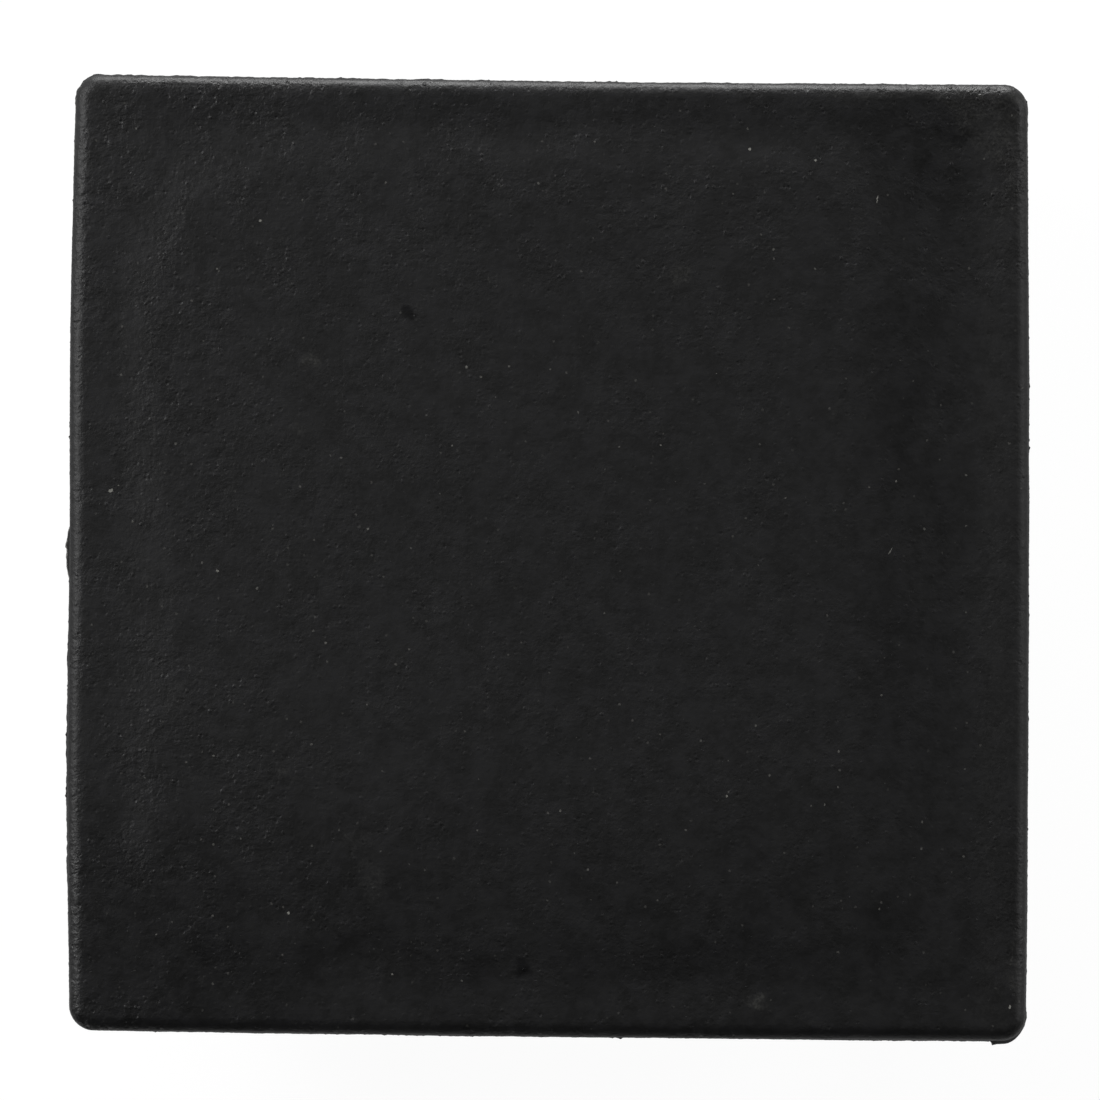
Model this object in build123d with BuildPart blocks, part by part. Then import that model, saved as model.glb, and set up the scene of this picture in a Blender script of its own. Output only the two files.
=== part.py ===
from build123d import *
import os

# Push-in end cap for a square slotted profile, moulded in one piece.
# Frame: the origin is the middle of the seat, where the rim meets the sawn end of the profile.
# +Z points out of the visible face and the pegs point down. All sizes are in millimetres.

# ---- head ----
profile_side = 40.0  # side of the square profile that the cap closes
head_height = 4.0  # seat to the top of the face
corner_radius = 1.0  # the four upright corners, as on the profile
face_edge_radius = 0.5  # roll between the face and the sides
side_draft = 0.6  # degrees, so that the head leaves the mould

# ---- sink margin: the face lies a little lower above the thick rim than on the thin panel ----
sink_depth = 0.05
sink_inset = 2.3  # side of the head to the foot of the soft step
sink_ramp = 1.4  # width of the step in plan
sink_corner = 2.0  # plan radius of the raised panel

# ---- pocket behind the face ----
rim_width = 3.0  # seat width, bears on the outer walls of the profile
panel_thickness = 2.0  # wall between the pocket and the face
pocket_corner = 1.2
pocket_draft = 1.5  # degrees
pocket_root = 0.4  # fillet where the pocket's walls meet the panel

# ---- stiffening ribs in the pocket, one pair each way, crossing at the pegs ----
rib_width = 1.2
rib_depth = 1.2  # how far they stand off the panel

# ---- push-in pegs ----
peg_inset = 6.0  # side of the head to the peg's axis
peg_diameter = 4.0  # round core below the seat
peg_reach = 9.0  # seat to the peg's tip
peg_nose = 1.6  # length of the tapered nose
peg_tip_diameter = 2.6
peg_root_diameter = 4.8  # the core thickens inside the pocket
peg_flare = 0.6  # fillet at the peg's root

# ---- crush ribs on each peg ----
crush_count = 4
crush_width = 0.7
crush_height = 0.35  # at the root, running out to nothing at the nose

# ---- moulding marks ----
ejector_diameter = 3.0
ejector_depth = 0.1
ejector_inset = 12.0  # side of the head to the mark's centre
gate_width = 2.1  # the broken-off gate, midway along the left side
gate_height = 0.8
gate_stub = 0.15

# ---- worked out from the sizes above ----
pocket_side = profile_side - 2 * rim_width
panel_back = head_height - panel_thickness  # height of the pocket's ceiling
margin_height = head_height - sink_depth  # height of the face above the rim
peg_spacing = profile_side - 2 * peg_inset
peg_radius = peg_diameter / 2
root_radius = peg_root_diameter / 2
ejector_spacing = profile_side - 2 * ejector_inset


# One crush rib in the XZ plane: its crest slopes from the seat down into the core at the nose.
with BuildPart() as crush_rib:
    with BuildSketch(Plane.XZ):
        with BuildLine():
            Polyline(
                (0, panel_back),
                (peg_radius + crush_height, panel_back),
                (peg_radius + crush_height, 0),
                (peg_radius, -peg_reach + peg_nose),
                (0, -peg_reach + peg_nose),
                close=True,
            )
        make_face()
    extrude(amount=crush_width / 2, both=True)

# One peg on the Z axis: a turned core with a tapered nose below and a thicker, flared root above.
with BuildPart() as peg:
    with BuildSketch(Plane.XZ):
        with BuildLine():
            Polyline(
                (0, panel_back),
                (0, -peg_reach),
                (peg_tip_diameter / 2, -peg_reach),
                (peg_radius, -peg_reach + peg_nose),
                (peg_radius, 0),
                (root_radius, panel_back - peg_flare),
            )
            RadiusArc(
                (root_radius, panel_back - peg_flare),
                (root_radius + peg_flare, panel_back),
                peg_flare,
            )
            Line((root_radius + peg_flare, panel_back), (0, panel_back))
        make_face()
    revolve(axis=Axis.Z)
    with PolarLocations(0, crush_count):
        add(crush_rib.part)

with BuildPart() as end_cap:
    # Head: a drafted square block with its face edge rolled over.
    with BuildSketch():
        RectangleRounded(profile_side, profile_side, corner_radius)
    extrude(amount=margin_height, taper=side_draft)
    fillet(end_cap.faces().sort_by(Axis.Z)[-1].edges(), face_edge_radius)

    # Raised panel: a soft step all round, a few hundredths high.
    panel_foot = profile_side - 2 * sink_inset
    panel_top = panel_foot - 2 * sink_ramp
    with BuildSketch(Plane.XY.offset(margin_height)):
        RectangleRounded(panel_foot, panel_foot, sink_corner + sink_ramp)
    with BuildSketch(Plane.XY.offset(head_height)):
        RectangleRounded(panel_top, panel_top, sink_corner)
    loft(ruled=True)

    # Pocket behind the face.
    with BuildSketch():
        RectangleRounded(pocket_side, pocket_side, pocket_corner)
    extrude(amount=panel_back, taper=pocket_draft, mode=Mode.SUBTRACT)
    ceiling = end_cap.faces().filter_by(Plane.XY).sort_by(Axis.Z)[1]
    fillet(ceiling.edges(), pocket_root)

    # Stiffening ribs from wall to wall of the pocket.
    rib_length = profile_side - rim_width
    with BuildSketch(Plane.XY.offset(panel_back - rib_depth)):
        with GridLocations(0, peg_spacing, 1, 2):
            Rectangle(rib_length, rib_width)
        with GridLocations(peg_spacing, 0, 2, 1):
            Rectangle(rib_width, rib_length)
    extrude(amount=rib_depth)

    # Pegs, one near each corner.
    with GridLocations(peg_spacing, peg_spacing, 2, 2):
        add(peg.part)

    # Ejector marks, sunk into the pocket's ceiling.
    with BuildSketch(Plane.XY.offset(panel_back)):
        with GridLocations(ejector_spacing, ejector_spacing, 2, 2):
            Circle(ejector_diameter / 2)
    extrude(amount=ejector_depth, mode=Mode.SUBTRACT)

    # Gate: the low curved stub left where the runner was broken off.
    with BuildSketch():
        with BuildLine():
            side = -profile_side / 2
            ThreePointArc((side, -gate_width / 2), (side - gate_stub, 0), (side, gate_width / 2))
            Polyline(
                (side, gate_width / 2),
                (side + rim_width / 2, gate_width / 2),
                (side + rim_width / 2, -gate_width / 2),
                (side, -gate_width / 2),
            )
        make_face()
    extrude(amount=gate_height)

end_cap.part.label = "end_cap"

os.makedirs("parts", exist_ok=True)
export_step(end_cap.part, "parts/end_cap.step")
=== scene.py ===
import math

import bmesh
import bpy
import numpy as np
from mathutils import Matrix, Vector, noise


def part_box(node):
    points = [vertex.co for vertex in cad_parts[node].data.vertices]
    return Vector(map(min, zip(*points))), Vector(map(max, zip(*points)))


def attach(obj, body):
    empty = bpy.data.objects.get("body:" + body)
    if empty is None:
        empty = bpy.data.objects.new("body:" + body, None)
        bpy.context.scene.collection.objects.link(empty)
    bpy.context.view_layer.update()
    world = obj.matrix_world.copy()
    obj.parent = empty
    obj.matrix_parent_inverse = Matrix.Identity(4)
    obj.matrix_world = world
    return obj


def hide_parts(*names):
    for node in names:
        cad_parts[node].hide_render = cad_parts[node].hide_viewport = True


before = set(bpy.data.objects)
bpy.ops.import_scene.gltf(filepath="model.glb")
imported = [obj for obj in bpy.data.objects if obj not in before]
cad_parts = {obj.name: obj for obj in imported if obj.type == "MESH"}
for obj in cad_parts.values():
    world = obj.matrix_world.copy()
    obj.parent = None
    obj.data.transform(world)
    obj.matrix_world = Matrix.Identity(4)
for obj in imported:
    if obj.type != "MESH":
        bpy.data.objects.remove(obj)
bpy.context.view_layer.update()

# An end cap for a slotted profile, face up on pale paper: black polyamide, moulded in one piece.

cap_low, cap_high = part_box("end_cap")

# ---------------------------------------------------------------- sizes, in millimetres
MM = 0.001
side = (cap_high.y - cap_low.y) / MM  # the profile's side; the gate stub makes the other way longer
half = side / 2
face_top = cap_high.z / MM  # middle of the visible face
floor_level = cap_low.z / MM  # the peg tips stand on the floor
rim_width = 3.0  # of the seat, round the open pocket
pocket_depth = 2.0

# the head, as the mould leaves it
corner_round = 1.0  # plan radius of the four corners
edge_roll = 0.58  # radius of the rolled edge round the face
edge_slope = 52  # its slope in degrees where it meets the wall
shoulder_drop, shoulder_width = 0.012, 0.25  # the face eases down into the roll
wall_draft = 0.036  # how far the wall leans in by the time it meets the roll

# the sunk margin of the face over the thick rim: how far in its soft step lies from each side
sink_depth = 0.10
left_sink, right_sink, back_sink, front_sink = 3.0, 4.1, 2.9, 3.1
sink_width, right_sink_width = 2.2, 2.9
sink_corner = 6.0
sag_depth = 0.05  # the right and the front lie a little lower still
lip_rise, right_lip_rise = 0.03, 0.09  # the margin climbs again towards the edge
lip_inset = 2.4

# shrinkage has pulled the square slightly out of true:
# corner shifts in x and y, and the bow of each side
shift_back_left = (0.05, 0.025)
shift_back_right = (-0.16, -0.08)
shift_front_left = (0.07, 0.08)
shift_front_right = (0.09, -0.06)
bow_left, bow_right, bow_back, bow_front = 0.15, 0.11, -0.06, 0.04
wave_left = 0.035  # the left side waves in and out besides

# parting line at the foot of the wall
parting_step = 0.035  # the foot stands proud of the wall above it
parting_height = 0.32
flash_height = 0.10
flash_rows = (0.03, 0.06)  # heights of the rows of points that carry the ragged flash
hook_place = 18.6  # along the front side, where the burr of its right corner ends

# gate stub on the left side
gate_width = 2.1
gate_height = 0.78
gate_proud = 0.16

# the skin: size and depth of the eroded mould's grain, of a broader ripple and of slight waves
grain_size, grain_depth = 0.42, 0.0014
ripple_size, ripple_depth = 1.7, 0.0013
wave_size, wave_depth = 9.0, 0.008

# patterns of the finish: mottling, rough skin, grits, and the fine speckling of painted glints
mottle_size, rough_size, grit_size, glint_speckle_size = 0.9, 0.38, 0.21, 0.13
bump_depth = 0.044

# dust on the face: one speck to each cell of that size
speck_spacing = 0.58
speck_radius = 0.052
speck_brightness = 0.062  # on average, and few are much brighter
ragged_size, ragged_reach = 0.07, 0.06  # how finely and how far their outlines are pushed about

# marks on the face: x, y, half length, half width, turn in degrees, strength;
# scuffs are lighter, lint and large specks much lighter, and stains smoother and so darker
scuffs = [
    (-10.0, 8.2, 0.5, 0.3, 35, 0.055), (5.4, 11.9, 0.6, 0.4, 10, 0.03),
    (11.8, 6.2, 0.4, 0.2, 70, 0.03), (-11.1, -9.0, 0.3, 0.25, 0, 0.05),
    (8.9, -18.45, 0.4, 0.25, -30, 0.08), (-7.2, -13.6, 0.6, 1.3, 10, 0.02),
    (-10.6, 5.3, 0.3, 0.2, 0, 0.035), (-8.2, -11.9, 0.8, 0.5, -15, 0.015),
    (-15.6, -6.0, 0.5, 0.9, 0, 0.02), (19.62, -17.0, 1.8, 0.12, 91, 0.05),
]
lint = [
    (13.62, 15.09, 0.16, 0.028, 83, 0.5), (14.29, 0.43, 0.18, 0.022, 60, 0.3),
    (-18.29, 2.68, 0.11, 0.06, 20, 0.5), (-12.13, 14.0, 0.06, 0.05, 0, 0.5),
    (-10.73, -14.9, 0.06, 0.055, 0, 0.6), (-13.8, -0.63, 0.06, 0.045, 0, 0.5),
    (8.28, 17.15, 0.06, 0.055, 0, 0.6), (19.42, -18.58, 0.08, 0.045, 80, 0.6),
]
stains = [
    (-6.03, 10.07, 0.36, 0.3, 0, 0.9), (-0.95, -17.2, 0.48, 0.42, 0, 1.0),
    (16.6, 17.9, 1.1, 0.8, -25, 0.5),
]


# ---------------------------------------------------------------- helpers for modelling
def open_piece(piece):
    """Opens one piece in edit mode with nothing selected."""
    if bpy.context.mode != "OBJECT":
        bpy.ops.object.mode_set(mode="OBJECT")
    bpy.ops.object.select_all(action="DESELECT")
    piece.select_set(True)
    bpy.context.view_layer.objects.active = piece
    bpy.ops.object.mode_set(mode="EDIT")
    bpy.ops.mesh.select_all(action="DESELECT")


def close_piece():
    bpy.ops.object.mode_set(mode="OBJECT")


def pick(piece, kind, wanted):
    """Selects the VERT, EDGE or FACE parts of the open piece that pass a test, and nothing else."""
    bpy.ops.mesh.select_mode(type=kind)
    bpy.ops.mesh.select_all(action="DESELECT")
    mesh = bmesh.from_edit_mesh(piece.data)
    parts = {"VERT": mesh.verts, "EDGE": mesh.edges, "FACE": mesh.faces}[kind]
    for part in parts:
        if wanted(part):
            part.select_set(True)
    bmesh.update_edit_mesh(piece.data)


def points_of(piece):
    """The piece's points as rows of x, y, z in millimetres."""
    points = np.empty(len(piece.data.vertices) * 3)
    piece.data.vertices.foreach_get("co", points)
    return points.reshape(-1, 3) / MM


def set_points(piece, points):
    piece.data.vertices.foreach_set("co", (points * MM).ravel())
    piece.data.update()


def smooth(t):
    """0 below 0, 1 above 1, and an S between them."""
    t = np.clip(t, 0.0, 1.0)
    return t * t * (3 - 2 * t)


def near_face(points, depth):
    """0 deeper than that below the face, and 1 from 0.4 mm above it."""
    return smooth((points[:, 2] - (face_top - depth)) / 0.4)


def ripple(points, size, place=0.0):
    """Smooth noise of about -1 to 1 at each point, with bumps of that size in millimetres."""
    shift = Vector((place, place * 0.7, place * 1.3))
    return np.array([noise.noise(Vector(p) / size + shift) for p in points]) * 1.6


def inset_from_side(x, y, corner):
    """Distance in from the square's outline, whose corners are rounded by that radius."""
    across, along = np.abs(x) - (half - corner), np.abs(y) - (half - corner)
    past = np.hypot(np.maximum(across, 0), np.maximum(along, 0))
    return corner - past - np.minimum(np.maximum(across, along), 0)


def outwards(x, y):
    """Level direction straight out of the square's outline, corners included."""
    across = np.maximum(np.abs(x) - (half - corner_round), 0) * np.sign(x)
    along = np.maximum(np.abs(y) - (half - corner_round), 0) * np.sign(y)
    length = np.maximum(np.hypot(across, along), 1e-9)
    return across / length, along / length


# ---------------------------------------------------------------- the moulding
def divide_long_edges(piece, wanted):
    """Each long straight edge that passes the test becomes 3 times 80 short ones."""
    for cuts in (2, 79):
        pick(piece, "EDGE", lambda e: e.calc_length() > 1.5 * MM and wanted(e))
        bpy.ops.mesh.subdivide(number_cuts=cuts)


def mould_head(corner_facets):
    """Wall, rolled edge and finely divided face, open underneath."""
    bpy.ops.object.select_all(action="DESELECT")
    bpy.ops.mesh.primitive_plane_add(size=side * MM, location=(0, 0, 0))
    head = bpy.context.object
    head.name = "cap_moulding"
    open_piece(head)
    bpy.ops.mesh.select_mode(type="VERT")
    bpy.ops.mesh.select_all(action="SELECT")
    bpy.ops.mesh.bevel(offset=corner_round * MM, segments=corner_facets, affect="VERTICES")
    bpy.ops.mesh.delete(type="ONLY_FACE")
    divide_long_edges(head, lambda e: True)
    bpy.ops.mesh.select_all(action="SELECT")
    bpy.ops.mesh.extrude_edges_move(
        TRANSFORM_OT_translate={"value": (0, 0, (face_top - sink_depth) * MM)}
    )
    lean = 1 - wall_draft / half
    bpy.ops.transform.resize(value=(lean, lean, 1), center_override=(0, 0, 0))
    bpy.ops.mesh.edge_face_add()
    pick(head, "EDGE", lambda e: all(v.co.z > (face_top - 0.2) * MM for v in e.verts))
    bpy.ops.mesh.bevel(offset=edge_roll * MM, segments=6, affect="EDGES")

    # rows for the parting line, the gate stub and the waviness of the wall
    rows = (*flash_rows, flash_height, parting_height - 0.05, parting_height)
    rows += (gate_height - 0.05, gate_height, 1.6, 2.3, 3.0)
    for height in rows:
        pick(head, "FACE", lambda f: abs(f.normal.z) < 0.3)
        bpy.ops.mesh.bisect(plane_co=(0, 0, height * MM), plane_no=(0, 0, 1), threshold=1e-7)

    # the rows where flash stands out are divided three times as finely, for its ragged edge
    def carries_flash(edge):
        low, high = sorted(v.co.z / MM for v in edge.verts)
        return flash_rows[0] - 0.01 < low and high < flash_rows[1] + 0.01 and high - low < 0.001

    pick(head, "EDGE", carries_flash)
    bpy.ops.mesh.subdivide(number_cuts=2)

    # the flat lid is opened and filled again as a grid, from the middle of one corner
    pick(head, "FACE", lambda f: len(f.verts) > 100)
    bpy.ops.mesh.delete(type="ONLY_FACE")
    pick(head, "EDGE", lambda e: e.is_boundary and e.verts[0].co.z > MM)
    mesh = bmesh.from_edit_mesh(head.data)
    ring = [v for v in mesh.verts if v.select]
    mesh.select_history.clear()
    mesh.select_history.add(max(ring, key=lambda v: v.co.x + v.co.y))
    bmesh.update_edit_mesh(head.data)
    bpy.ops.mesh.fill_grid(span=len(ring) // 4)
    close_piece()
    return head


def pull_out_of_true(points):
    """The whole head leaves the mould a little out of square, with bowed sides."""
    x, y = points[:, 0], points[:, 1]
    right, back = (x / half + 1) / 2, (y / half + 1) / 2
    for axis in (0, 1):
        points[:, axis] += (
            shift_back_left[axis] * (1 - right) * back
            + shift_back_right[axis] * right * back
            + shift_front_left[axis] * (1 - right) * (1 - back)
            + shift_front_right[axis] * right * (1 - back)
        )
    u, v = np.clip(x / half, -1, 1), np.clip(y / half, -1, 1)
    points[:, 0] += np.where(u < 0, -bow_left, bow_right) * u * u * (1 - v * v)
    points[:, 0] += np.where(u < 0, wave_left, 0) * u * u * np.cos(2 * math.pi * v)
    points[:, 1] += np.where(v < 0, -bow_front, bow_back) * v * v * (1 - u * u)


def sink_margin(points):
    """The face has sunk in a band over the thick rim, with a soft step that runs unevenly."""
    x, y = points[:, 0], points[:, 1]
    centre = ((left_sink - right_sink) / 2, (front_sink - back_sink) / 2)
    reach_x = half - (left_sink + right_sink) / 2
    reach_y = half - (front_sink + back_sink) / 2
    across = np.abs(x - centre[0]) - (reach_x - sink_corner)
    along = np.abs(y - centre[1]) - (reach_y - sink_corner)
    past = np.hypot(np.maximum(across, 0), np.maximum(along, 0))
    beyond = past + np.minimum(np.maximum(across, along), 0) - sink_corner
    level = points * (1, 1, 0)
    beyond += 0.45 * ripple(level, 6.0, 51.0) + 0.25 * ripple(level, 2.2, 53.0)
    width = sink_width + (right_sink_width - sink_width) * smooth((x - 8) / 6)
    sunk = smooth(beyond / width + 0.5)
    sag = np.maximum(smooth((x - 12) / 5), 0.8 * smooth((-12 - y) / 5))
    points[:, 2] -= sag_depth * sag * near_face(points, 0.6)
    rise = lip_rise + (right_lip_rise - lip_rise) * smooth((x - 8) / 6)
    lip = rise * (1 - smooth(inset_from_side(x, y, corner_round) / lip_inset))
    points[:, 2] += near_face(points, 0.6) * (sink_depth * (1 - sunk) + lip)


def shape_edge(points):
    """The rolled edge is an arc that meets the wall at a steep slope, and eases into the face."""
    x, y, z = points.T
    level_top = face_top - sink_depth
    # each row of the even round becomes the flatter arc's row at the same share of its turn
    cosine = np.clip((z - (level_top - edge_roll)) / edge_roll, 0, 1)
    tilt = np.arccos(cosine)
    flatter = tilt * math.radians(edge_slope) / (math.pi / 2)
    reach = edge_roll / math.sin(math.radians(edge_slope))
    moved_in = (edge_roll - reach * np.sin(flatter)) - (edge_roll - edge_roll * np.sin(tilt))
    on_roll = z > level_top - edge_roll - 0.001
    out_x, out_y = outwards(x, y)
    inset = inset_from_side(x, y, corner_round)
    points[:, 0] -= on_roll * out_x * moved_in
    points[:, 1] -= on_roll * out_y * moved_in
    drop = reach * (1 - np.cos(flatter)) + shoulder_drop * np.exp(
        -np.maximum(inset - edge_roll, 0) / shoulder_width
    )
    points[:, 2] = np.where(on_roll, level_top - drop, z)


def torn_burr(flat):
    """Round the front right corner the flash is a thick torn burr that ends in a hook."""
    x, y, z = flat.T
    burr = 0.13 * (y < -half + 0.95) * (x > hook_place) * smooth((20.1 - x) / 0.9)
    burr += (burr > 0) * 0.06 * np.exp(-(((x - hook_place) / 0.16) ** 2))
    burr += (burr > 0) * 0.012 * ripple(flat * (1, 1, 0), 0.2, 47.0)
    # it thins out to nothing at the seat and at the parting line
    heights = (0, flash_rows[0], flash_height, parting_height - 0.05, parting_height)
    return burr * np.interp(z, heights, (0, 1, 1, 0.8, 0))


def parting_line(points, flat):
    """A small step at the foot of the wall, and flash that stands out of it in ragged runs."""
    x, y, z = flat.T
    plan = flat * (1, 1, 0)
    out_x, out_y = outwards(x, y)
    foot = z < parting_height - 0.01
    step = parting_step * (1 + 0.35 * ripple(plan, 3.0, 5.0))
    fin = (z > 0.01) & (z < flash_height - 0.01)
    ragged = 0.5 * np.abs(ripple(plan, 0.45, 11.0)) + 0.5 * np.abs(ripple(plan, 1.6, 17.0))
    torn = 0.008 * ripple(plan, 0.09, 29.0) + 0.03 * np.maximum(ripple(plan, 0.16, 19.0), 0) ** 3
    # how far each run stands out, and a little all round
    back_left = (y > half - 1.2) * smooth((2.5 - x) / 4)
    back = (y > half - 1.2) * 0.5
    left_low = (x < -half + 1.2) * smooth((-3.0 - y) / 1.0) * smooth((y + 15) / 2)
    front = (y < -half + 1.2) * (0.3 + 0.4 * smooth((x - 13) / 3))
    everywhere = np.full(len(x), 0.22)
    runs = np.maximum.reduce([back_left, back, left_low, front, everywhere])
    flash = np.where(fin, torn + 0.07 * ragged * runs, 0)
    push = np.where(foot, step, 0) + np.maximum(flash, torn_burr(flat))
    points[:, 0] += out_x * push
    points[:, 1] += out_y * push


def gate_stub(points, flat):
    """Where the runner was broken off the left side."""
    x, y, z = flat.T
    stub = (x < -half + 0.1) & (np.abs(y) < gate_width / 2) & (z < gate_height - 0.02)
    swell = np.sqrt(np.clip(1 - (2 * y / gate_width) ** 2, 0, 1))
    torn = 0.03 * ripple(flat, 0.3, 23.0) + 0.06 * np.exp(-(((y - 0.3) / 0.15) ** 2))
    points[:, 0] -= np.where(stub, gate_proud * swell - parting_step + torn, 0)


def eroded_grain(head):
    """The mould's fine grain and a thick moulding's slight waviness, along each point's normal."""
    points = points_of(head)
    normals = np.empty(len(head.data.vertices) * 3)
    head.data.vertices.foreach_get("normal", normals)
    grain = grain_depth * ripple(points, grain_size, 31.0)
    grain += ripple_depth * ripple(points, ripple_size, 37.0)
    grain += wave_depth * ripple(points, wave_size, 41.0)
    set_points(head, points + normals.reshape(-1, 3) * grain[:, None])


def copy_underside():
    """Pocket, ribs, pegs and ejector marks come from the solid, merged, without its outer skin.

    Gives too the number of facets round each corner of the pocket's mouth.
    """
    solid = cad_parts["end_cap"]
    under = bpy.data.objects.new("underside", solid.data.copy())
    bpy.context.scene.collection.objects.link(under)
    under.data.materials.clear()
    open_piece(under)
    bpy.ops.mesh.select_all(action="SELECT")
    bpy.ops.mesh.remove_doubles(threshold=1e-6)
    reach, top = (half - rim_width + 0.05) * MM, (pocket_depth + 1) * MM

    def outer_skin(face):
        return any(max(abs(v.co.x), abs(v.co.y)) > reach or v.co.z > top for v in face.verts)

    pick(under, "FACE", outer_skin)
    bpy.ops.mesh.delete(type="FACE")
    pick(under, "EDGE", lambda e: e.is_boundary)
    mouth = sum(e.select for e in bmesh.from_edit_mesh(under.data).edges)
    divide_long_edges(under, lambda e: e.is_boundary)
    close_piece()
    return under, mouth // 4 - 1


def close_seat(head, under):
    """Joins the two, and the flat seat closes the gap between wall and pocket."""
    bpy.ops.object.select_all(action="DESELECT")
    head.select_set(True)
    under.select_set(True)
    bpy.context.view_layer.objects.active = head
    bpy.ops.object.join()
    open_piece(head)
    mesh = bmesh.from_edit_mesh(head.data)

    def turn(vert):
        """Angle round the middle, counted from the middle of one corner."""
        return (math.atan2(vert.co.y, vert.co.x) + 0.75 * math.pi) % (2 * math.pi)

    def in_order(verts):
        """The loop's points one after another, from the middle of that corner."""
        loop = [min(verts, key=turn)]
        near = [e.other_vert(loop[0]) for e in loop[0].link_edges if e.is_boundary]
        loop.append(min(near, key=turn))
        while len(loop) < len(verts):
            near = [e.other_vert(loop[-1]) for e in loop[-1].link_edges if e.is_boundary]
            loop.append(near[0] if near[0] != loop[-2] else near[1])
        return loop

    rim = [v for v in mesh.verts if v.is_boundary]
    middle = (half - rim_width / 2) * MM
    wall = in_order([v for v in rim if max(abs(v.co.x), abs(v.co.y)) > middle])
    mouth = in_order([v for v in rim if max(abs(v.co.x), abs(v.co.y)) < middle])
    # rows between the two, so that the seat is made of small even faces
    rows = [wall]
    for share in (0.12, 0.38, 0.68):
        rows.append([mesh.verts.new(a.co.lerp(b.co, share)) for a, b in zip(wall, mouth)])
    rows.append(mouth)
    for outer, inner in zip(rows, rows[1:]):
        for k in range(len(outer)):
            mesh.faces.new((outer[k - 1], outer[k], inner[k], inner[k - 1]))
    bmesh.update_edit_mesh(head.data)
    bpy.ops.mesh.select_all(action="SELECT")
    bpy.ops.mesh.normals_make_consistent(inside=False)
    close_piece()


def ragged_marks(points, marks):
    """Marks with ragged outlines at their places on the face, the strongest one winning."""
    level = points * (1, 1, 0)
    x = points[:, 0] + 0.25 * ripple(level, 0.5, 61.0)
    y = points[:, 1] + 0.25 * ripple(level, 0.5, 67.0)
    total = np.zeros(len(points))
    for place_x, place_y, half_length, half_width, turn, strength in marks:
        turn = math.radians(turn)
        dx, dy = x - place_x, y - place_y
        along = (dx * math.cos(turn) + dy * math.sin(turn)) / half_length
        across = (dy * math.cos(turn) - dx * math.sin(turn)) / half_width
        total = np.maximum(total, strength * smooth((1.2 - np.hypot(along, across)) / 0.8))
    return total * near_face(points, 0.8)


def rubbed_corner(points):
    """The back right corner and the margins beside it are rubbed lighter, out to a wavy line."""
    x, y = points[:, 0], points[:, 1]
    level = points * (1, 1, 0)
    wavy = 0.5 * ripple(level, 1.3, 71.0) + 0.25 * ripple(level, 0.5, 72.0)
    return np.maximum.reduce([
        smooth((x + y - 34.8 + wavy) / 0.4),
        0.6 * smooth((y - 19.1 + 0.3 * wavy) / 0.3) * smooth((x - 10) / 3),
        0.6 * smooth((x - 18.5 + 0.5 * wavy) / 0.4) * smooth((y - 11) / 3),
    ]) * near_face(points, 0.8)


def painted_highlight_foot(points):
    """A painted highlight: the torn flash along the back half of the left side is painted pale,
    where it catches the light.
    """
    x, y, z = points.T
    foot = (z > 0.2) & (z < parting_height + 0.01) & (x < -half + 0.5)
    broken = 0.4 + 0.6 * smooth(ripple(points * (1, 1, 0), 0.6, 97.0) + 0.5)
    return 0.6 * foot * smooth((y + 3) / 2) * broken


def grain_crispness(points, rubbed):
    """How far the grain stands out: in patches, most along the left and the back."""
    x, y = points[:, 0], points[:, 1]
    left, right, back = smooth((-7 - x) / 8), smooth((x - 7) / 6), smooth((y - 8) / 8)
    crisp = 0.77 + 0.33 * left + 0.38 * back - 0.16 * right * (1 - back) + 0.4 * rubbed
    patchy = 0.7 * ripple(points, 1.9, 79.0) + 0.3 * ripple(points, 0.7, 83.0)
    # on the rolled edge it breaks up the light
    on_roll = smooth((0.75 - inset_from_side(x, y, corner_round)) / 0.3)
    return crisp * (0.6 + 0.7 * smooth(patchy + 0.5)) * (1 + 0.4 * on_roll)


def touch_polish(points, rubbed):
    """Touch has polished the skin a little: front, back, inside the right margin and one corner."""
    x, y = points[:, 0], points[:, 1]
    level = points * (1, 1, 0)
    cloudy = 0.7 * ripple(level, 2.6, 91.0) + 0.3 * ripple(level, 0.9, 93.0)
    front = (0.2 + 0.1 * smooth((-7 - x) / 8)) * smooth((-7 - y) / 8)
    inside_margin = smooth((x - 12) / 3) * smooth((18 - x) / 2)
    inside_margin *= 0.22 * (0.6 + 0.4 * smooth((y + 12) / 10))
    back = 0.16 * smooth((y - 17.6) / 0.8) * smooth((x + 19) / 3)
    corner = 0.45 * np.exp(-((np.hypot(x - 15.3, y - 16.6) / 2.2) ** 2)) * (1 - rubbed)
    polish = np.maximum.reduce([front, inside_margin, back, corner])
    return polish * (0.7 + 0.6 * smooth(cloudy + 0.5)) * near_face(points, 0.8)


def paint_wear_and_highlights(head):
    """Paints rubbing with some painted highlights, polish and the crispness of the grain on the
    points, for the finish.
    """
    points = points_of(head)
    rubbed = rubbed_corner(points)
    broken = 0.4 + 0.6 * smooth(ripple(points * (1, 1, 0), 0.4, 73.0) * 0.8 + 0.5)
    # a painted highlight: a faint pale band along the right margin, broken up
    right_margin_highlight = 0.012 * smooth((points[:, 0] - 17.6) / 0.8) * broken * near_face(points, 0.8)
    wear_and_highlights = np.ones((len(points), 4))
    # lighter: scuffs and the rubbed corner, and the painted highlights along the right margin and
    # the left foot
    wear_and_highlights[:, 0] = np.maximum.reduce(
        [ragged_marks(points, scuffs), 0.035 * rubbed * broken, right_margin_highlight, painted_highlight_foot(points)]
    )
    wear_and_highlights[:, 1] = np.maximum(ragged_marks(points, stains), touch_polish(points, rubbed))
    wear_and_highlights[:, 2] = grain_crispness(points, rubbed)
    layer = head.data.attributes.new("wear_and_highlights", "FLOAT_COLOR", "POINT")
    layer.data.foreach_set("color", wear_and_highlights.ravel())


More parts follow.
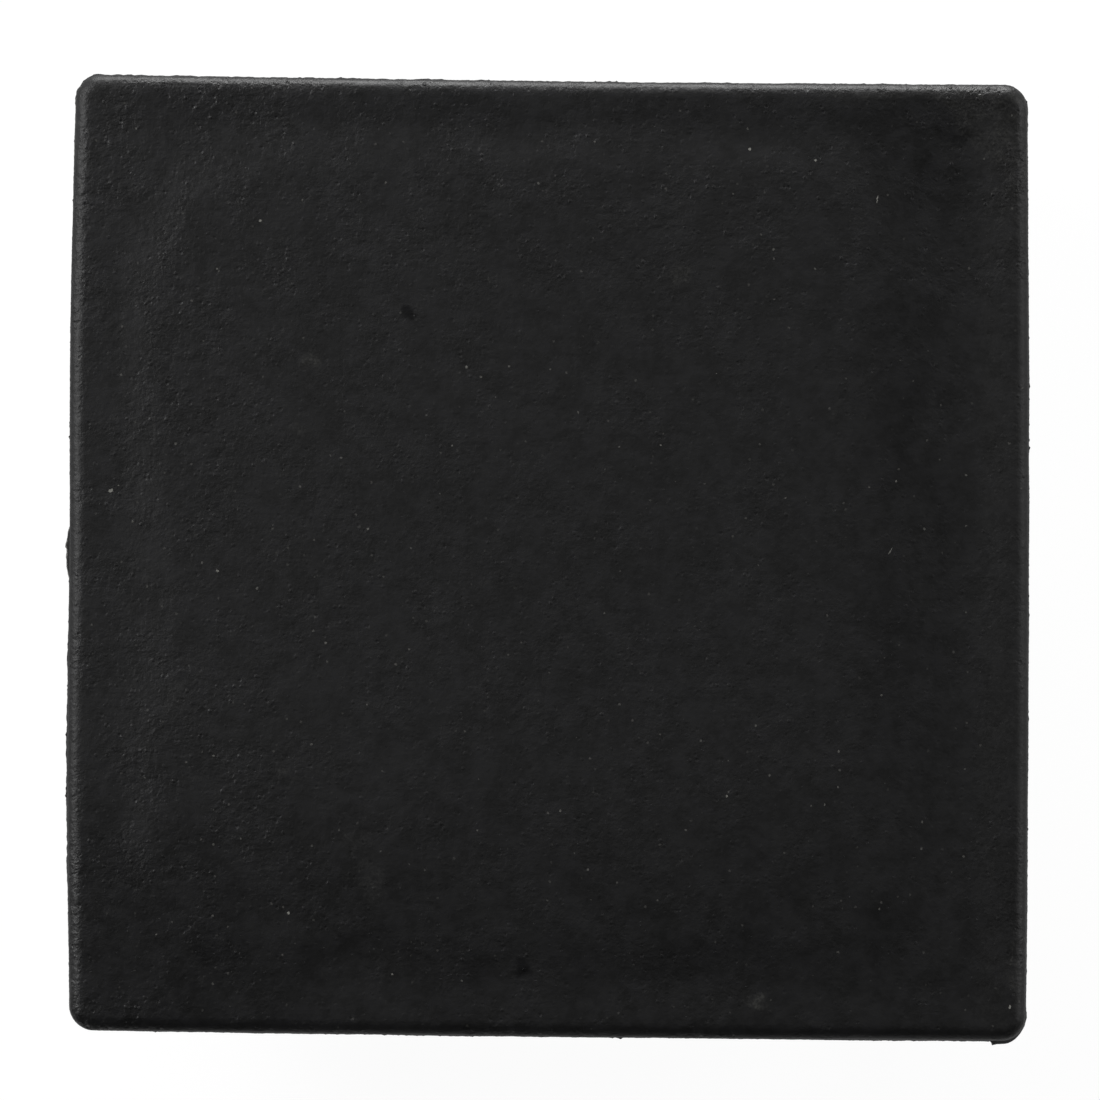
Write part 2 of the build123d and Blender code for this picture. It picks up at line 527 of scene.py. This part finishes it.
def shade_flats(head):
    """The true flats of the underside are shaded flat up to their fillets."""
    reach, ceiling = (half - 1) * MM, (pocket_depth + 0.2) * MM
    rib_face = 1.5 * MM * MM  # smaller upright faces belong to rounds

    def is_flat(face):
        level = abs(face.normal.z) > 0.999
        upright = max(abs(face.normal.x), abs(face.normal.y)) > 0.99 and face.calc_area() > rib_face
        low = all(-0.01 * MM < v.co.z < ceiling for v in face.verts)
        inside = all(max(abs(v.co.x), abs(v.co.y)) < reach for v in face.verts)
        return low and inside and (level or upright)

    open_piece(head)
    pick(head, "FACE", is_flat)
    bpy.ops.mesh.faces_shade_flat()
    close_piece()


def make_cap():
    """The whole cap as one closed mesh: moulded head, flat seat and the solid's underside."""
    under, corner_facets = copy_underside()
    head = mould_head(corner_facets)
    flat = points_of(head)
    points = flat.copy()
    shape_edge(points)
    parting_line(points, flat)
    gate_stub(points, flat)
    sink_margin(points)
    pull_out_of_true(points)
    set_points(head, points)
    eroded_grain(head)
    close_seat(head, under)
    paint_wear_and_highlights(head)
    bpy.ops.object.shade_smooth_by_angle(angle=math.radians(40))
    shade_flats(head)
    return head


# ---------------------------------------------------------------- finishes
def paint(code):
    """Linear RGBA of an sRGB colour such as #1f1f20."""
    parts = [int(code[i : i + 2], 16) / 255 for i in (1, 3, 5)]
    return (*[c / 12.92 if c <= 0.04045 else ((c + 0.055) / 1.055) ** 2.4 for c in parts], 1.0)


def add_node(tree, kind, inputs=None, **settings):
    """Adds one node. An input is a value, a socket, or a node whose first output is linked."""
    made = tree.nodes.new(kind)
    for name, value in settings.items():
        setattr(made, name, value)
    for name, value in (inputs or {}).items():
        if isinstance(value, bpy.types.Node):
            value = next(output for output in value.outputs if output.enabled)
        if isinstance(value, bpy.types.NodeSocket):
            tree.links.new(value, made.inputs[name])
        else:
            made.inputs[name].default_value = value
    return made


def new_material(name):
    material = bpy.data.materials.new(name)
    material.use_nodes = True
    material.node_tree.nodes.clear()
    return material, material.node_tree


def moulded_black_polyamide():
    """Carbon-black polyamide, injection moulded in a spark-eroded tool.

    It is nearly black and matt, and finely pitted, so that light from the side breaks up on it.
    A Mix node of colours has its share at input 0 and its two colours at 6 and 7.
    """
    material, tree = new_material("moulded_black_polyamide")
    place = add_node(tree, "ShaderNodeTexCoord").outputs["Object"]
    in_mm = add_node(tree, "ShaderNodeMapping", {"Vector": place, "Scale": (1 / MM,) * 3})
    pale = paint("#9a9992")  # rubbed skin, painted highlights, dust and lint

    # what paint_wear_and_highlights has put on the points: rubbing with painted highlights, polish
    # and where the grain is crisp
    wear_and_highlights = add_node(tree, "ShaderNodeAttribute", attribute_name="wear_and_highlights")
    rubbed, polished, crisp = add_node(tree, "ShaderNodeSeparateColor", {"Color": wear_and_highlights}).outputs

    # faint mottling of the skin
    mottle = add_node(
        tree, "ShaderNodeTexNoise",
        {"Vector": in_mm, "Scale": 1 / mottle_size, "Detail": 2.0, "Roughness": 0.75},
    )
    mottle = add_node(
        tree, "ShaderNodeMapRange", {"Value": mottle, "From Min": 0.3, "From Max": 0.7},
        interpolation_type="SMOOTHSTEP",
    )
    body = add_node(
        tree, "ShaderNodeMix", {0: mottle, 6: paint("#050505"), 7: paint("#151516")},
        data_type="RGBA",
    )

    # painted glints: a fine speckling of slightly lighter colour, which also breaks up what is
    # rubbed
    glint_speckle = add_node(
        tree, "ShaderNodeTexNoise",
        {"Vector": in_mm, "Scale": 1 / glint_speckle_size, "Detail": 1.0, "Roughness": 0.7},
    )
    glint_speckle = add_node(
        tree, "ShaderNodeMapRange", {"Value": glint_speckle, "From Min": 0.35, "From Max": 0.75},
        interpolation_type="SMOOTHSTEP",
    )
    share = add_node(tree, "ShaderNodeMath", {0: glint_speckle, 1: 0.3}, operation="MULTIPLY")
    body = add_node(
        tree, "ShaderNodeMix", {0: share, 6: body, 7: paint("#19191a")}, data_type="RGBA"
    )
    # the rubbed skin and the painted highlights turn pale, broken up by the painted glints
    share = add_node(tree, "ShaderNodeMath", {0: glint_speckle, 1: 0.25}, operation="ADD")
    share = add_node(tree, "ShaderNodeMath", {0: rubbed, 1: share}, operation="MULTIPLY")
    body = add_node(tree, "ShaderNodeMix", {0: share, 6: body, 7: pale}, data_type="RGBA")

    # dust: one small speck to each cell, few of them bright, with ragged outlines
    ragged = add_node(
        tree, "ShaderNodeTexNoise", {"Vector": in_mm, "Scale": 1 / ragged_size, "Detail": 0.0}
    ).outputs["Color"]
    pushed = add_node(
        tree, "ShaderNodeVectorMath", {0: ragged, 1: (ragged_reach,) * 3, 2: in_mm},
        operation="MULTIPLY_ADD",
    )
    cells = add_node(tree, "ShaderNodeTexVoronoi", {"Vector": pushed, "Scale": 1 / speck_spacing})
    chance = add_node(tree, "ShaderNodeSeparateColor", {"Color": cells.outputs["Color"]})
    rare = add_node(
        tree, "ShaderNodeMath", {0: chance.outputs[0], 1: math.e}, operation="LOGARITHM"
    )
    rare = add_node(tree, "ShaderNodeMath", {0: rare, 1: -speck_brightness}, operation="MULTIPLY")
    near = add_node(
        tree, "ShaderNodeMath", {0: cells, 1: speck_radius / speck_spacing}, operation="LESS_THAN"
    )

    # lint and the larger specks, each at its own place on the face
    dust = 0.0
    for x, y, half_length, half_width, turn, strength in lint:
        local = add_node(
            tree, "ShaderNodeMapping",
            {"Vector": pushed, "Location": (x, y, face_top), "Rotation": (0, 0, math.radians(turn)),
             "Scale": (half_length, half_width, 0.6)},
            vector_type="TEXTURE",
        )
        far = add_node(tree, "ShaderNodeVectorMath", {0: local}, operation="LENGTH")
        inside = add_node(tree, "ShaderNodeMath", {0: far, 1: 1.0}, operation="LESS_THAN")
        dust = add_node(
            tree, "ShaderNodeMath", {0: inside, 1: strength, 2: dust}, operation="MULTIPLY_ADD"
        )
    dust = add_node(tree, "ShaderNodeMath", {0: near, 1: rare, 2: dust}, operation="MULTIPLY_ADD")
    share = add_node(tree, "ShaderNodeMath", {0: dust, 1: 0.9}, operation="MINIMUM")
    body = add_node(tree, "ShaderNodeMix", {0: share, 6: body, 7: pale}, data_type="RGBA")

    # grits: a pit or a bump to each cell, most of them slight
    cells = add_node(tree, "ShaderNodeTexVoronoi", {"Vector": in_mm, "Scale": 1 / grit_size})
    chance = add_node(tree, "ShaderNodeSeparateColor", {"Color": cells.outputs["Color"]})
    high = add_node(
        tree, "ShaderNodeMath", {0: chance.outputs[1], 1: 2.0, 2: -1.0}, operation="MULTIPLY_ADD"
    )
    high = add_node(tree, "ShaderNodeMath", {0: high, 1: 3.0}, operation="POWER")
    dome = add_node(
        tree, "ShaderNodeMapRange",
        {"Value": cells, "From Min": 0.1, "From Max": 0.5, "To Min": 1.0, "To Max": 0.0},
        interpolation_type="SMOOTHSTEP",
    )
    grits = add_node(tree, "ShaderNodeMath", {0: high, 1: dome}, operation="MULTIPLY")

    # grain: a rough skin and its grits, as crisp as the points say
    rough = add_node(
        tree, "ShaderNodeTexNoise",
        {"Vector": in_mm, "Scale": 1 / rough_size, "Detail": 3.0, "Roughness": 0.62},
    )
    rough = add_node(tree, "ShaderNodeMath", {0: rough, 1: 0.5}, operation="SUBTRACT")
    grits = add_node(tree, "ShaderNodeMath", {0: grits, 1: 0.3}, operation="MULTIPLY")
    grain = add_node(
        tree, "ShaderNodeMath", {0: rough, 1: 0.8, 2: grits}, operation="MULTIPLY_ADD"
    )
    grain = add_node(tree, "ShaderNodeMath", {0: grain, 1: crisp}, operation="MULTIPLY")
    bump = add_node(
        tree, "ShaderNodeBump", {"Height": grain, "Strength": 1.0, "Distance": bump_depth * MM}
    )

    # polish makes it smoother, which reads darker from above
    roughness = add_node(
        tree, "ShaderNodeMath", {0: polished, 1: -0.25, 2: 0.51}, operation="MULTIPLY_ADD"
    )
    surface = add_node(
        tree, "ShaderNodeBsdfPrincipled",
        {
            "Base Color": body,
            "Roughness": roughness,
            "IOR": 1.53,  # that of polyamide
            "Specular IOR Level": 0.36,
            "Normal": bump,
        },
    )
    add_node(tree, "ShaderNodeOutputMaterial", {"Surface": surface})
    return material


def pale_floor_paper():
    """Smooth pale paper, nearly white where the camera or a reflection sees it, with its shadow."""
    material, tree = new_material("pale_floor_paper")
    paper = add_node(tree, "ShaderNodeBsdfDiffuse", {"Color": paint("#e8e8e8")})
    white = add_node(tree, "ShaderNodeEmission", {"Color": paint("#ffffff"), "Strength": 1.08})
    ray = add_node(tree, "ShaderNodeLightPath").outputs
    seen = ray["Is Camera Ray"]
    for kind in ("Is Glossy Ray", "Is Transmission Ray"):
        seen = add_node(tree, "ShaderNodeMath", {0: seen, 1: ray[kind]}, operation="MAXIMUM")
    share = add_node(tree, "ShaderNodeMath", {0: seen, 1: 0.88}, operation="MULTIPLY")
    lit = add_node(tree, "ShaderNodeMixShader", {0: share, 1: paper, 2: white})
    # from below or outside the paper is clear, so that the pegs and the pocket can be looked at
    turned = add_node(tree, "ShaderNodeNewGeometry").outputs["Backfacing"]
    through = add_node(
        tree, "ShaderNodeMath", {0: turned, 1: ray["Is Camera Ray"]}, operation="MULTIPLY"
    )
    clear = add_node(tree, "ShaderNodeBsdfTransparent")
    surface = add_node(tree, "ShaderNodeMixShader", {0: through, 1: lit, 2: clear})
    add_node(tree, "ShaderNodeOutputMaterial", {"Surface": surface})
    return material


# ---------------------------------------------------------------- stage
def lay_floor():
    """A round sheet of paper with a low turned-up rim."""
    radius, rim = 1200, 80
    bpy.ops.object.select_all(action="DESELECT")
    bpy.ops.mesh.primitive_circle_add(
        vertices=96, radius=radius * MM, fill_type="NGON", location=(0, 0, floor_level * MM)
    )
    floor = bpy.context.object
    floor.name = "floor_paper"
    open_piece(floor)
    pick(floor, "EDGE", lambda e: e.is_boundary)
    bpy.ops.mesh.extrude_edges_move(TRANSFORM_OT_translate={"value": (0, 0, rim * MM)})
    bpy.ops.mesh.select_all(action="SELECT")
    close_piece()
    bpy.ops.object.transform_apply(location=True)
    # its upper side has to face up, since the paper is clear from its back
    mesh = floor.data
    if mesh.polygons[0].normal.z < 0:
        mesh.flip_normals()
    mesh.materials.append(pale_floor_paper())


def hang_lamp(name, turn, rise, distance, size, watts):
    """A soft rectangular lamp, turned to the cap."""
    light = bpy.data.lights.new(name, "AREA")
    light.shape = "RECTANGLE"
    light.size, light.size_y = size[0] * MM, size[1] * MM
    light.energy = watts
    lamp = bpy.data.objects.new(name, light)
    turn, rise = math.radians(turn), math.radians(rise)
    level = math.cos(rise)
    place = Vector((math.sin(turn) * level, math.cos(turn) * level, math.sin(rise)))
    lamp.location = place * distance * MM
    lamp.rotation_euler = (-place).to_track_quat("-Z", "Y").to_euler()
    lamp.visible_camera = False
    bpy.context.scene.collection.objects.link(lamp)


def light_world(strength):
    """A dim even white all round."""
    world = bpy.data.worlds.new("studio")
    world.use_nodes = True
    background = world.node_tree.nodes["Background"]
    background.inputs["Color"].default_value = (1, 1, 1, 1)
    background.inputs["Strength"].default_value = strength
    bpy.context.scene.world = world


def set_camera():
    """Straight above the face, with a long lens. The frame's width is that at the seat."""
    height, frame_width = 1204.0, 46.08
    aside = (0.04, 0.32)
    roll = 0.465  # degrees
    data = bpy.data.cameras.new("camera")
    data.lens = data.sensor_width * height / frame_width
    data.clip_start, data.clip_end = 0.1, 5.0
    camera = bpy.data.objects.new("camera", data)
    camera.location = (aside[0] * MM, aside[1] * MM, height * MM)
    camera.rotation_euler = (0, 0, math.radians(roll))
    bpy.context.scene.collection.objects.link(camera)
    bpy.context.scene.camera = camera


cap = make_cap()
cap.data.materials.append(moulded_black_polyamide())
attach(cap, "root")
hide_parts("end_cap")

lay_floor()
# name, degrees round from the back, degrees up, distance and size in millimetres, watts
for lamp in (
    ("back_lamp", 0, 9, 380, (200, 60), 1.22),
    ("back_near_lamp", 0, 15, 200, (120, 50), 0.08),
    ("left_lamp", -70, 39, 190, (100, 60), 0.242),
    ("right_lamp", 75, 30, 380, (160, 80), 0.3),
    ("right_top_lamp", 75, 50, 300, (140, 90), 0.072),
):
    hang_lamp(*lamp)
light_world(0.042)
set_camera()
bpy.context.scene.view_settings.view_transform = "Standard"
